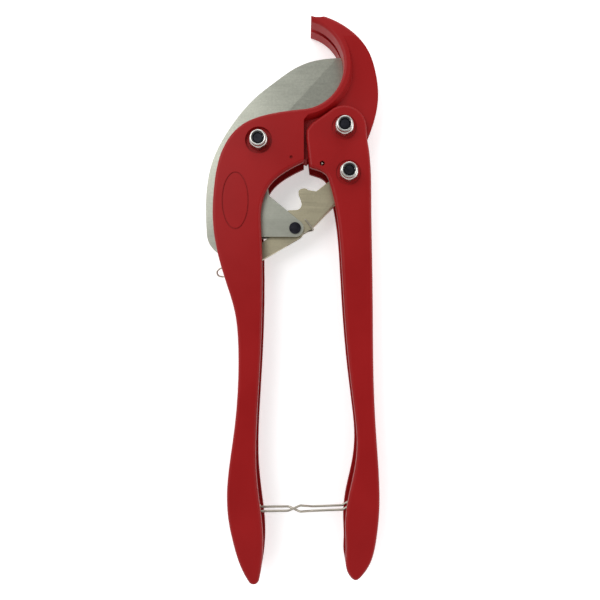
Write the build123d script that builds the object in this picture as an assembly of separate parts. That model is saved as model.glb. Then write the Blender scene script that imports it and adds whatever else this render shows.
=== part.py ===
"""Ratchet pipe cutter for plastic pipe up to 63 mm, lying flat with its pivots upright.

Everything is drawn about the cutter's mid-plane (z = 0), with +Y from the grips to the jaw,
and moved at the end so that the origin is under the middle of the whole tool. Millimetres.
"""
from build123d import *
import math
import os

# ---------------------------------------------------------------- driving dimensions
# castings, as half thicknesses from the mid-plane
CASTING_HALF = 13.0
WEB_HALF = 7.8            # hook web and pivot lug that run inside the forked head
FRAME_CAVITY_HALF = 8.2   # room for the blade's tang plates
FORK_GAP_HALF = 8.3       # room for the lug in the moving handle's head
GRIP_WALL = 5.0           # outer wall of both grips
EDGE_ROUND = 2.2          # cast edge radius

# pivots in the plane of the tool
HANDLE_PIVOT = (29.0, 128.0)
LINK_PIN = (32.2, 94.5)
BLADE_PIVOT = (-34.4, 118.5)
LINK_RIVET = (-7.5, 54.2)
LATCH_PIVOT = (-37.2, -160.5)
LATCH_CATCH = (36.1, -159.5)
SPRING_HOLE = (12.8, 101.3)
SPRING_ANCHOR = (-66.0, 20.0)

# jaw
JAW_CENTRE = (-4.3, 175.2)
JAW_RADIUS = 33.3         # seat for a pipe of 63 mm with its burr
JAW_START_ANGLE = -80.0   # where the body's outer edge runs into the seat
RIM_WIDTH = 4.7
RIM_FOOT = 7.6            # rim width where its slanted side meets the web
BLADE_SLOT_HALF = 1.9
BLADE_SLOT_DEPTH = 6.5

# blade and tang
BLADE_HALF = 1.5
EDGE_DEPTH = 1.2          # how far the closed cutting edge goes past the jaw seat
EDGE_ANGLE = 47.3         # direction of the cutting edge when closed
BEVEL_WIDTH = 20.0
EDGE_HALF = 0.3           # half thickness left at the cutting edge
CHEEK_INNER = 4.9
CHEEK_THICK = 2.0
SHEET_EDGE = 0.35         # tumbled edges of the stamped plates
TANG_RADIUS = 6.5
HUB_RADIUS = 8.0
CHEEK_BOSS_RADIUS = 11.0

# link, strut and wire
LINK_HALF = 4.6
LINK_SHEET = 1.5
FOLD_RADIUS = 1.2         # outside of the bend between the link's web and its sides
LINK_EYE_RADIUS = 6.0
STRUT_HALF = 2.9
STRUT_SHEET = 1.2
STRUT_LENGTH = 42.0
STRUT_WEB_START = 12.0    # the strut's web stays clear of the link spring's swing
SPRING_WIRE = 0.6
WIRE_RADIUS = 0.85
LATCH_STRAND_Z = 3.8

# fasteners
BOLT_RADIUS = 4.0
RUNNING = 0.05            # radial clearance of shafts in bushes
HEAD_RADIUS = 7.0
HEAD_HEIGHT = 3.0
HEAD_ROOM = 0.2           # clearance of a bolt head below the casting's face
NUT_FLATS = 13.0
NUT_HEIGHT = 8.5
NUT_CROWN_RADIUS = 6.0
NUT_HEX_HEIGHT = 6.0
NUT_BORE_RADIUS = 4.3
BOLT_END_BELOW_CROWN = 1.0
BLADE_SEAT_DEPTH = 2.5    # counterbore under the blade pivot's nut
FORK_SEAT_DEPTH = 0.7     # spot face under the nuts on the moving handle
BLADE_SEAT_RADIUS = 10.0
FORK_SEAT_RADIUS = 9.3
RIVET_RADIUS = 3.0
RIVET_HEAD_RADIUS = 4.4
RIVET_HEAD_HEIGHT = 0.9
ROLLER_RADIUS = 6.0
BUSH_RADIUS = 6.0
PIN_RADIUS = 1.4


# ---------------------------------------------------------------- helpers
def closed_face(*edges):
    """One face inside a closed run of lines, arcs and curves."""
    return make_face(Wire([edge for part in edges for edge in part.edges()]))


def polygon(*points):
    """A flat face with straight sides."""
    return make_face(Polyline(*points, close=True))


def slab(face, low, high):
    """A flat face carried from height low to height high."""
    return extrude(Pos(0, 0, low) * face, amount=high - low)


def disc(centre, radius, low, high):
    """An upright cylinder about a pivot."""
    return Pos(centre[0], centre[1], low) * Cylinder(
        radius, high - low, align=(Align.CENTER, Align.CENTER, Align.MIN))


def ring(centre, outer, inner, low, high):
    """An upright tube about a pivot."""
    return disc(centre, outer, low, high) - disc(centre, inner, low - 1, high + 1)


def face_edges(solid):
    """The edges round a solid's front and back faces."""
    levels = solid.faces().sort_by(Axis.Z)
    return levels[0].edges() + levels[-1].edges()


def edges_through(solid, *places):
    """The front and back face edges that pass nearest to each place."""
    levels = solid.faces().sort_by(Axis.Z)
    return [face.edges().sort_by_distance((*place, face.center().Z))[0]
            for face in (levels[0], levels[-1]) for place in places]


def both_sides(solid):
    """A solid and its mirror image below the mid-plane."""
    return [solid, mirror(solid, Plane.XY)]


def polar(centre, radius, degrees):
    """A point at a distance and direction from a centre."""
    turn = math.radians(degrees)
    return (centre[0] + radius * math.cos(turn), centre[1] + radius * math.sin(turn))


def shifted(points, dx, dy=0.0):
    """The same points moved in the plane."""
    return [(x + dx, y + dy) for x, y in points]


def direction(start, end):
    """Angle in degrees of the line from start to end."""
    return math.degrees(math.atan2(end[1] - start[1], end[0] - start[0]))


def distance(start, end):
    """Length of the line from start to end."""
    return math.hypot(end[0] - start[0], end[1] - start[1])


def round_bar(start, end, radius):
    """A straight round bar between two points in space."""
    line = Line(start, end)
    return extrude(Plane(origin=start, z_dir=line % 0) * Circle(radius), amount=line.length)


def bent_wire(points, radii, radius):
    """Round wire along straight runs joined by arcs."""
    path = FilletPolyline(*points, radius=radii)
    return sweep(Plane(origin=path @ 0, z_dir=path % 0) * Circle(radius), path=path)


def long_hull(start, start_radius, end, end_radius):
    """The outline of a belt round two circles, as a face."""
    span = distance(start, end)
    lean = math.degrees(math.acos((start_radius - end_radius) / span))
    along = direction(start, end)
    a1, a2 = polar(start, start_radius, along + lean), polar(start, start_radius, along - lean)
    b1, b2 = polar(end, end_radius, along + lean), polar(end, end_radius, along - lean)
    return closed_face(
        ThreePointArc(a1, polar(start, start_radius, along + 180), a2),
        Line(a2, b2),
        ThreePointArc(b2, polar(end, end_radius, along), b1),
        Line(b1, a1))


# ---------------------------------------------------------------- fixed frame
TIP_CENTRE = (-38.3, -207.3)
TIP_RADIUS = 4.3
FRAME_OUTER = [polar(TIP_CENTRE, TIP_RADIUS, 208), (-48.5, -197.0), (-53.6, -180.5), (-57.0, -164.0),
               (-58.2, -147.3), (-57.2, -130.0), (-52.9, -98.1), (-49.9, -62.0),
               (-49.8, -32.7), (-52.3, -9.0), (-60.0, 16.8), (-65.6, 37.3),
               (-68.6, 58.0), (-67.6, 86.0), (-61.8, 111.3), (-48.1, 129.7),
               (-30.0, 137.6), (-11.1, 141.0)]
FRAME_INNER = [polar(TIP_CENTRE, TIP_RADIUS, -8), (-31.6, -190.0), (-31.5, -175.0), (-34.0, -152.0),
               (-36.4, -128.0), (-36.4, -98.0), (-34.6, -65.0), (-32.4, -20.0),
               (-31.9, 15.0), (-32.7, 50.0), (-32.5, 70.0), (-26.0, 86.0),
               (-14.0, 96.2), (-0.9, 103.0)]
HOOK_OUTER = [(46.0, 118.0), (52.4, 136.0), (55.0, 152.3), (52.8, 170.7), (45.1, 189.0),
              (30.3, 203.4), (15.4, 210.7)]
HOOK_TIP_X = 4.5
HOOK_TIP_TOP = 210.5
HOOK_DIP = (9.9, 209.6)
PLATEAU_X = -0.9
PLATEAU_TOP = 134.0
SLOT_BOTTOM = 27.0        # where the blade slot in the grip's outer wall ends
OVAL_CENTRE = (-51.6, 73.7)
OVAL_HALF_WIDTH = 9.6
OVAL_HALF_HEIGHT = 20.9
OVAL_GROOVE = 0.9
OVAL_DEPTH = 0.5
DIMPLE_CENTRE = (-10.3, 105.9)
DIMPLE_RADIUS = 1.2


def edge_line_point(along, depth):
    """A point beside the closed cutting edge: along it, and depth past the blade pivot."""
    foot = polar(BLADE_PIVOT, depth, EDGE_ANGLE - 90)
    return polar(foot, along, EDGE_ANGLE)


def edge_depth():
    """Distance of the closed cutting edge's line from the blade pivot."""
    across = math.radians(EDGE_ANGLE - 90)
    to_jaw = ((JAW_CENTRE[0] - BLADE_PIVOT[0]) * math.cos(across)
              + (JAW_CENTRE[1] - BLADE_PIVOT[1]) * math.sin(across))
    return to_jaw + JAW_RADIUS + EDGE_DEPTH


def frame_outline():
    """Grip, body and hook as one closed outline."""
    reach = math.sqrt(JAW_RADIUS ** 2 - (HOOK_TIP_X - JAW_CENTRE[0]) ** 2)
    tip_low = (HOOK_TIP_X, JAW_CENTRE[1] + reach)
    jaw_start = polar(JAW_CENTRE, JAW_RADIUS, JAW_START_ANGLE)
    return closed_face(
        ThreePointArc(jaw_start, polar(JAW_CENTRE, JAW_RADIUS, 0), tip_low),
        Line(tip_low, (HOOK_TIP_X, HOOK_TIP_TOP)),
        Spline((HOOK_TIP_X, HOOK_TIP_TOP), HOOK_DIP, HOOK_OUTER[-1]),
        Spline(*reversed(HOOK_OUTER)),
        Line(HOOK_OUTER[0], (40.0, 116.0)),
        ThreePointArc((40.0, 116.0), (29.0, 111.7), (18.0, 116.0)),
        Line((18.0, 116.0), (2.5, 106.5)),
        Line((2.5, 106.5), FRAME_INNER[-1]),
        Spline(*reversed(FRAME_INNER)),
        ThreePointArc(FRAME_INNER[0], polar(TIP_CENTRE, TIP_RADIUS, -90), FRAME_OUTER[0]),
        Spline(*FRAME_OUTER, jaw_start))


def web_recess():
    """Front recess beside the rim: level by the head and rising to the face near the tip."""
    face = CASTING_HALF + 5.0
    flush = CASTING_HALF + 0.3
    ramp_start, ramp_end = 150.0, 198.0
    profile = Plane.YZ * closed_face(
        Line((60, WEB_HALF), (ramp_start, WEB_HALF)),
        Spline((ramp_start, WEB_HALF), (ramp_end, flush), tangents=[(1, 0), (1, 0.12)]),
        Line((ramp_end, flush), (ramp_end, face)),
        Line((ramp_end, face), (60, face)),
        Line((60, face), (60, WEB_HALF)))
    ramp = Pos(PLATEAU_X, 0, 0) * extrude(profile, amount=80)
    corner = polygon((PLATEAU_X, 60), (PLATEAU_X, PLATEAU_TOP), (3.0, 138.0),
                     (-20.0, 165.0), (-20.0, 60.0))
    rim = Pos(JAW_CENTRE[0], JAW_CENTRE[1], WEB_HALF) * Cone(
        JAW_RADIUS + RIM_FOOT, JAW_RADIUS + RIM_WIDTH, CASTING_HALF - WEB_HALF,
        align=(Align.CENTER, Align.CENTER, Align.MIN))
    return ramp - slab(corner, 0, face) - rim


def frame_cavity():
    """Space between the side plates: the grip's channel and the swing of the tang plates."""
    wall = shifted(FRAME_OUTER[:-3], GRIP_WALL)
    bottom = (wall[0][0], wall[0][1] + GRIP_WALL)
    boss = CHEEK_BOSS_RADIUS + 2.5
    top_left = polar(BLADE_PIVOT, boss, 150)
    top_right = polar(BLADE_PIVOT, boss, 35)
    return closed_face(
        Spline(bottom, *wall[1:]),
        Line(wall[-1], top_left),
        ThreePointArc(top_left, polar(BLADE_PIVOT, boss, 90), top_right),
        Line(top_right, (-4.0, 107.5)),
        Line((-4.0, 107.5), (6.0, 102.5)),
        Line((6.0, 102.5), (6.0, bottom[1])),
        Line((6.0, bottom[1]), bottom))


def blade_slot():
    """Slot that the blade runs in, through the body and into the jaw seat."""
    depth = edge_depth() + 0.6
    body = polygon(edge_line_point(-30, depth), edge_line_point(60, depth),
                   edge_line_point(60, -140), (-100, SLOT_BOTTOM),
                   (-20, SLOT_BOTTOM))
    seat = Pos(*JAW_CENTRE) * Circle(JAW_RADIUS + BLADE_SLOT_DEPTH)
    return (slab(body, -BLADE_SLOT_HALF, BLADE_SLOT_HALF)
            + slab(seat, -BLADE_SLOT_HALF, BLADE_SLOT_HALF))


def oval_groove():
    """Shallow groove round the plain oval on the body's front."""
    centre = Pos(*OVAL_CENTRE)
    outer = Ellipse(OVAL_HALF_WIDTH + OVAL_GROOVE / 2, OVAL_HALF_HEIGHT + OVAL_GROOVE / 2)
    inner = Ellipse(OVAL_HALF_WIDTH - OVAL_GROOVE / 2, OVAL_HALF_HEIGHT - OVAL_GROOVE / 2)
    return slab(centre * (outer - inner), CASTING_HALF - OVAL_DEPTH, CASTING_HALF + 1)


def frame_casting():
    """Grip, slotted body, jaw rim and hook, cast in one piece."""
    body = slab(frame_outline(), -CASTING_HALF, CASTING_HALF)
    body = fillet(edges_through(body, FRAME_OUTER[8], HOOK_OUTER[3]), EDGE_ROUND)
    for recess in both_sides(web_recess()):
        body -= recess
    body -= slab(frame_cavity(), -FRAME_CAVITY_HALF, FRAME_CAVITY_HALF)
    body -= blade_slot()
    body -= oval_groove()
    body -= disc(DIMPLE_CENTRE, DIMPLE_RADIUS, CASTING_HALF - 1.0, CASTING_HALF + 1)
    # blade pivot: bolt hole, nut seat in front, head seat behind
    body -= disc(BLADE_PIVOT, BOLT_RADIUS, -20, 20)
    body -= disc(BLADE_PIVOT, BLADE_SEAT_RADIUS, CASTING_HALF - BLADE_SEAT_DEPTH, 20)
    body -= disc(BLADE_PIVOT, HEAD_RADIUS + 0.5, -20, -CASTING_HALF + HEAD_HEIGHT + HEAD_ROOM)
    # handle pivot: the lug's bush, and room in front of it for the handle spring
    body -= disc(HANDLE_PIVOT, BUSH_RADIUS, -20, 20)
    body -= ring(HANDLE_PIVOT, 11.0, BUSH_RADIUS + 0.8, WEB_HALF - 3.4, 20)
    # latch pin and spring anchor holes
    body -= disc(LATCH_PIVOT, PIN_RADIUS, -20, 20)
    body -= slab(polygon((-75, 15.5), (-45, 15.5), (-45, 28.5), (-75, 28.5)), -1.2, 1.2)
    return body


# ---------------------------------------------------------------- moving handle
HANDLE_OUTER = [(42.6, -205.0), (48.8, -195.5), (53.2, -178.0), (55.3, -158.0),
                (55.4, -138.0), (52.9, -98.0), (51.0, -53.4), (50.6, -11.9),
                (50.1, 29.6), (49.4, 74.0), (48.9, 99.0), (46.3, 120.0)]
HANDLE_INNER = [(33.0, -205.0), (30.5, -188.0), (30.1, -170.0), (32.0, -150.0),
                (37.0, -127.0), (38.9, -107.9), (37.0, -83.0), (33.0, -50.0),
                (29.8, -14.0), (27.6, 22.0), (25.4, 52.0), (22.0, 73.5),
                (18.4, 87.5)]
HANDLE_TIP = (37.7, -208.5)
HANDLE_CHIN = [(18.4, 87.5), (15.6, 93.4), (10.4, 96.6)]
HEAD_SIDE = [(3.4, 98.9), (1.0, 119.7), (1.0, 126.0), (4.8, 131.2)]
HEAD_RADIUS_TOP = 16.8
SPINE_TOP = 44.0          # the outer wall ends here, so that link and web can pass


def handle_outline():
    """Grip and head of the moving handle as one closed outline."""
    crown_start = polar(HANDLE_PIVOT, HEAD_RADIUS_TOP, 118)
    crown_end = polar(HANDLE_PIVOT, HEAD_RADIUS_TOP, 0)
    return closed_face(
        Line(HANDLE_OUTER[-1], crown_end),
        ThreePointArc(crown_end, polar(HANDLE_PIVOT, HEAD_RADIUS_TOP, 60), crown_start),
        Line(crown_start, HEAD_SIDE[3]),
        Line(HEAD_SIDE[3], HEAD_SIDE[2]),
        Line(HEAD_SIDE[2], HEAD_SIDE[1]),
        Line(HEAD_SIDE[1], HEAD_SIDE[0]),
        Line(HEAD_SIDE[0], HANDLE_CHIN[2]),
        Spline(*reversed(HANDLE_CHIN)),
        Spline(*reversed(HANDLE_INNER), HANDLE_TIP, *HANDLE_OUTER))


def handle_cavity():
    """Channel inside the grip and the gap of the forked head."""
    wall = [point for point in shifted(HANDLE_OUTER, -GRIP_WALL) if point[1] < SPINE_TOP]
    bottom = (wall[0][0], wall[0][1] + GRIP_WALL)
    top = (wall[-1][0], SPINE_TOP)
    return closed_face(
        Spline(bottom, *wall[1:], top),
        Line(top, (70.0, SPINE_TOP)),
        Line((70.0, SPINE_TOP), (70.0, 160.0)),
        Line((70.0, 160.0), (-5.0, 160.0)),
        Line((-5.0, 160.0), (-5.0, bottom[1])),
        Line((-5.0, bottom[1]), bottom))


def moving_handle():
    """Hollow grip with a forked head that straddles the frame's lug."""
    body = slab(handle_outline(), -CASTING_HALF, CASTING_HALF)
    body = fillet(face_edges(body), EDGE_ROUND)
    body -= slab(handle_cavity(), -FORK_GAP_HALF, FORK_GAP_HALF)
    for pivot in (HANDLE_PIVOT, LINK_PIN):
        body -= disc(pivot, BOLT_RADIUS, -20, 20)
        body -= disc(pivot, FORK_SEAT_RADIUS, CASTING_HALF - FORK_SEAT_DEPTH, 20)
        body -= disc(pivot, HEAD_RADIUS + 0.5, -20, -CASTING_HALF + HEAD_HEIGHT + HEAD_ROOM)
    body -= disc(SPRING_HOLE, 1.9, 0, 20)
    groove = long_hull(HANDLE_PIVOT, 1.2, SPRING_HOLE, 1.2)
    body -= slab(groove, FORK_GAP_HALF - 1, FORK_GAP_HALF + 2.0)
    body -= disc(LATCH_CATCH, PIN_RADIUS, -20, 20)
    return body


# ---------------------------------------------------------------- fasteners
def pivot_bolt(pivot, nut_seat):
    """Low-headed bolt from the back, its end just inside the nut's crown."""
    head_low = -CASTING_HALF + HEAD_ROOM
    top = nut_seat + NUT_HEIGHT - BOLT_END_BELOW_CROWN
    head = disc(pivot, HEAD_RADIUS, head_low, head_low + HEAD_HEIGHT)
    socket = slab(Pos(*pivot) * RegularPolygon(3.0, 6), head_low - 1, head_low + 1.8)
    end = Pos(pivot[0], pivot[1], top) * Cone(
        BOLT_RADIUS, BOLT_RADIUS - 0.8, 0.8, align=(Align.CENTER, Align.CENTER, Align.MAX))
    shank = disc(pivot, BOLT_RADIUS, head_low + HEAD_HEIGHT, top - 0.8)
    return head - socket + shank + end


def lock_nut(pivot, seat):
    """Hexagon lock nut with a round crown, its hexagon's corners bevelled."""
    hexagon = slab(Pos(*pivot) * RegularPolygon(NUT_FLATS / 2, 6, major_radius=False),
                   seat, seat + NUT_HEX_HEIGHT)
    corner = NUT_FLATS / math.sqrt(3)
    bevel = Pos(pivot[0], pivot[1], seat) * Cone(
        corner + 2.2, corner - 0.4, NUT_HEX_HEIGHT, align=(Align.CENTER, Align.CENTER, Align.MIN))
    crown = disc(pivot, NUT_CROWN_RADIUS, seat + NUT_HEX_HEIGHT, seat + NUT_HEIGHT)
    crown = fillet(crown.edges().group_by(Axis.Z)[-1], 0.8)
    nut = (hexagon & bevel) + crown
    nut -= disc(pivot, BOLT_RADIUS, seat - 1, seat + NUT_HEIGHT - BOLT_END_BELOW_CROWN)
    return nut - disc(pivot, NUT_BORE_RADIUS, seat + NUT_HEIGHT - BOLT_END_BELOW_CROWN, 40)


def cross_pin(pivot, half):
    """Plain pin through both walls of a grip."""
    return disc(pivot, PIN_RADIUS, -half, half)


# ---------------------------------------------------------------- blade
BLADE_BACK = [(27.4, 185.1), (15.9, 184.4), (3.3, 181.9), (-9.4, 176.2), (-22.1, 167.3),
              (-36.5, 156.0), (-50.5, 141.0), (-62.5, 123.5), (-70.6, 106.5),
              (-74.6, 89.0), (-75.8, 71.1), (-75.2, 52.0)]
BLADE_HEEL = [(-75.2, 52.0), (-72.6, 42.0), (-66.0, 35.4)]
BLADE_BOTTOM = [(-66.0, 35.4), (-58.0, 36.0), (-54.0, 62.0), (-30.0, 62.0)]
BLADE_NECK = [(-29.0, 78.0), (-30.5, 90.0)]
CHEEK_RIGHT = [(-10.3, 63.6), (-27.5, 79.0), (-29.0, 88.0)]
CHEEK_LOW_LEFT = (-44.0, 47.7)
TANG_RIVETS = [(-50.0, 84.0), (-36.0, 76.0)]
EDGE_START = -6.0         # ends of the cutting edge, measured along it from beside the pivot
BLADE_REACH = 79.0
GRIND_START = 14.0


def blade():
    """Sector blade with a straight bevelled cutting edge."""
    depth = edge_depth()
    heel = edge_line_point(EDGE_START, depth)
    tip = edge_line_point(BLADE_REACH, depth)
    outline = closed_face(
        Line(tip, BLADE_BACK[0]),
        Spline(*BLADE_BACK),
        Spline(*BLADE_HEEL),
        Polyline(*BLADE_BOTTOM),
        Line(BLADE_BOTTOM[-1], BLADE_NECK[0]),
        Line(BLADE_NECK[0], BLADE_NECK[1]),
        Line(BLADE_NECK[1], heel),
        Line(heel, tip))
    plate = slab(outline, -BLADE_HALF, BLADE_HALF)
    # the grind on both faces, thinning the plate towards the cutting edge
    across = Plane(origin=(*edge_line_point(0, depth), 0),
                   x_dir=(math.cos(math.radians(EDGE_ANGLE - 90)),
                          math.sin(math.radians(EDGE_ANGLE - 90)), 0),
                   z_dir=(-math.cos(math.radians(EDGE_ANGLE)),
                          -math.sin(math.radians(EDGE_ANGLE)), 0))
    wedge = across * polygon((-BEVEL_WIDTH, -BLADE_HALF), (5, -EDGE_HALF + 0.3),
                             (5, -BLADE_HALF - 2), (-BEVEL_WIDTH, -BLADE_HALF - 2))
    grind = Pos(*polar((0, 0), GRIND_START, EDGE_ANGLE)) * extrude(wedge, amount=-100)
    for cut in both_sides(grind):
        plate -= cut
    plate -= disc(BLADE_PIVOT, HUB_RADIUS, -5, 5)
    for rivet in TANG_RIVETS:
        plate -= disc(rivet, RIVET_RADIUS, -5, 5)
    return plate


def cheek_outline():
    """Tang plate from the hub to the link rivet."""
    hub_right = polar(BLADE_PIVOT, CHEEK_BOSS_RADIUS, -25)
    hub_left = polar(BLADE_PIVOT, CHEEK_BOSS_RADIUS, 200)
    rivet_low = (LINK_RIVET[0], LINK_RIVET[1] - TANG_RADIUS)
    rivet_high = polar(LINK_RIVET, TANG_RADIUS, direction(CHEEK_RIGHT[0], CHEEK_RIGHT[1]) - 90)
    return closed_face(
        ThreePointArc(rivet_low, polar(LINK_RIVET, TANG_RADIUS, -20), rivet_high),
        Line(rivet_high, CHEEK_RIGHT[1]),
        Line(CHEEK_RIGHT[1], CHEEK_RIGHT[2]),
        Line(CHEEK_RIGHT[2], hub_right),
        ThreePointArc(hub_right, polar(BLADE_PIVOT, CHEEK_BOSS_RADIUS, 90), hub_left),
        Line(hub_left, (-54.0, 84.0)),
        Line((-54.0, 84.0), CHEEK_LOW_LEFT),
        Line(CHEEK_LOW_LEFT, rivet_low))


def cheek(side):
    """One of the two plates that carry the link rivet, one on each side of the blade."""
    low = CHEEK_INNER if side > 0 else -CHEEK_INNER - CHEEK_THICK
    plate = slab(cheek_outline(), low, low + CHEEK_THICK)
    plate = fillet(face_edges(plate), SHEET_EDGE)
    plate -= disc(BLADE_PIVOT, HUB_RADIUS, -20, 20)
    plate -= disc(LINK_RIVET, RIVET_RADIUS, -20, 20)
    for rivet in TANG_RIVETS:
        plate -= disc(rivet, RIVET_RADIUS, -20, 20)
    return plate


def blade_hub():
    """Bush that the blade and its tang plates turn on the bolt with."""
    return ring(BLADE_PIVOT, HUB_RADIUS, BOLT_RADIUS + RUNNING, -8.0, 8.0)


def tang_spacers():
    """Rings that hold the tang plates off the blade, at the hub and the rivets."""
    rings = []
    for centre, outer, inner in ((BLADE_PIVOT, HUB_RADIUS + 2.5, HUB_RADIUS),
                                 (TANG_RIVETS[0], 5.0, RIVET_RADIUS),
                                 (TANG_RIVETS[1], 5.0, RIVET_RADIUS)):
        rings += both_sides(ring(centre, outer, inner, BLADE_HALF, CHEEK_INNER))
    return rings


def rivet(centre, head_radius, head_height):
    """Through rivet with a flat head on each tang plate."""
    outer = CHEEK_INNER + CHEEK_THICK
    shank = disc(centre, RIVET_RADIUS, -outer, outer)
    for side in (-1, 1):
        low = outer if side > 0 else -outer - head_height
        shank += disc(centre, head_radius, low, low + head_height)
    return shank


# ---------------------------------------------------------------- ratchet link
LINK_BACK = (-12.9, 68.0)
LINK_NOSE = [(-6.2, 68.3), (-2.8, 71.3), (-2.8, 75.4), (-4.5, 80.5)]
LINK_HORN = [(-4.5, 80.5), (-4.9, 82.6), (-2.8, 84.3), (2.2, 83.4)]
LINK_VALLEY = (8.5, 82.4)
LINK_SADDLE = [(17.3, 89.3), (21.0, 90.6), (26.5, 88.6), (32.0, 87.9), (37.2, 90.0),
               (39.4, 94.5)]
LINK_END = (43.4, 94.0)
LINK_WEB_START = (5.1, 54.1)
LINK_WEB_END = (43.4, 93.3)


def link_flange():
    """Side of the link: an eye on the rivet and three notches for the link pin."""
    eye_low = polar(LINK_RIVET, LINK_EYE_RADIUS, -60)
    eye_high = polar(LINK_RIVET, LINK_EYE_RADIUS, 175)
    return closed_face(
        ThreePointArc(eye_low, polar(LINK_RIVET, LINK_EYE_RADIUS, 240), eye_high),
        Line(eye_high, LINK_BACK),
        Line(LINK_BACK, LINK_NOSE[0]),
        Spline(*LINK_NOSE),
        Spline(*LINK_HORN),
        Line(LINK_HORN[-1], LINK_VALLEY),
        Line(LINK_VALLEY, LINK_SADDLE[0]),
        Spline(*LINK_SADDLE),
        Line(LINK_SADDLE[-1], LINK_END),
        Line(LINK_END, LINK_WEB_END),
        Line(LINK_WEB_END, LINK_WEB_START),
        Line(LINK_WEB_START, eye_low))


def ratchet_link():
    """Folded channel: two notched flanges and the web that joins their lower edges."""
    flange = link_flange()
    link = slab(flange, LINK_HALF - LINK_SHEET, LINK_HALF)
    link += slab(flange, -LINK_HALF, -LINK_HALF + LINK_SHEET)
    along = direction(LINK_WEB_START, LINK_WEB_END)
    inner_start = polar(LINK_WEB_START, LINK_SHEET, along + 90)
    inner_end = polar(LINK_WEB_END, LINK_SHEET, along + 90)
    web = polygon(LINK_WEB_START, LINK_WEB_END, inner_end, inner_start)
    link += slab(web, -LINK_HALF, LINK_HALF)
    fold = polar(LINK_WEB_START, distance(LINK_WEB_START, LINK_WEB_END) / 2, along)
    link = fillet(edges_through(link, LINK_SADDLE[2]), SHEET_EDGE)
    link = fillet(edges_through(link, fold), FOLD_RADIUS)
    return link - disc(LINK_RIVET, RIVET_RADIUS + RUNNING, -20, 20)


def link_spring():
    """Coil round the link rivet, its leg led under the link and hooked over the front flange."""
    coil = ring(LINK_RIVET, 4.9, 3.5, -1.4, 1.4)
    front = LINK_HALF + SPRING_WIRE + 0.05
    under = (6.2, 53.5)
    leg = bent_wire([(*polar(LINK_RIVET, 4.2, -50), 0), (*under, 0), (*under, front),
                     (0.2, 61.0, front)], [1.2, 1.2], SPRING_WIRE)
    return coil + leg


# ---------------------------------------------------------------- spring strut
def strut_end():
    """Far end of the strut, on the line from the rivet to the spring's anchor."""
    return polar(LINK_RIVET, STRUT_LENGTH, direction(LINK_RIVET, SPRING_ANCHOR))


def spring_strut():
    """Folded channel that pivots on the link rivet and takes the closing spring."""
    along = direction(LINK_RIVET, SPRING_ANCHOR)
    end = strut_end()
    side = along + 90
    low_start, low_end = polar(LINK_RIVET, 7.8, side), polar(end, 7.8, side)
    high_end = polar(end, 3.0, side - 180)
    high_start = polar(LINK_RIVET, 5.5, side - 180)
    flange = closed_face(
        Line(low_start, low_end),
        Line(low_end, high_end),
        Line(high_end, high_start),
        ThreePointArc(high_start, polar(LINK_RIVET, 5.5, along + 180), low_start))
    channel = slab(flange, STRUT_HALF - STRUT_SHEET, STRUT_HALF)
    channel += slab(flange, -STRUT_HALF, -STRUT_HALF + STRUT_SHEET)
    web_start = polar(low_start, STRUT_WEB_START, along)
    web = polygon(web_start, low_end, polar(low_end, STRUT_SHEET, side - 180),
                  polar(web_start, STRUT_SHEET, side - 180))
    channel += slab(web, -STRUT_HALF, STRUT_HALF)
    channel = fillet(face_edges(channel), SHEET_EDGE)
    return channel - disc(LINK_RIVET, RIVET_RADIUS + RUNNING, -20, 20)


# ---------------------------------------------------------------- springs and latch
def handle_spring():
    """Coil in the lug's front pocket, its leg led along the fork to the spring hole."""
    toward_hole = direction(HANDLE_PIVOT, SPRING_HOLE)
    lift = polar(HANDLE_PIVOT, 8.9, toward_hole)
    leg_z = FORK_GAP_HALF + 1.0
    coil = ring(HANDLE_PIVOT, 9.7, 8.1, WEB_HALF - 3.2, WEB_HALF - 0.1)
    leg = bent_wire([(*lift, WEB_HALF - 2.0), (*lift, leg_z), (*SPRING_HOLE, leg_z),
                     (*SPRING_HOLE, leg_z + 2.9)], [1.0, 1.0], 0.8)
    return coil + leg


def closing_spring():
    """Small coil by the outer wall, with a loop through the wall and a hook to the strut."""
    along = direction(SPRING_ANCHOR, LINK_RIVET)
    far, near = (-51.5, 28.4), (-56.5, 25.5)
    axis = Plane(origin=(*near, 0), z_dir=(*polar((0, 0), 1, along), 0))
    coil = extrude(axis * (Circle(2.4) - Circle(1.4)), amount=distance(near, far))
    loop = bent_wire([(*polar(near, 1.9, along - 90), 0), (-60.0, 17.6, 0), (-66.4, 17.8, 0),
                      (-68.2, 21.6, 0), (-65.4, 24.4, 0), (*polar(near, 1.9, along + 90), 0)],
                     [2.0, 2.0, 1.6, 2.0], 0.7)
    hook = round_bar((*polar(far, 1.9, along - 90), 0), (-47.2, 28.7, 0), 0.5)
    return coil + loop + hook


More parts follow.
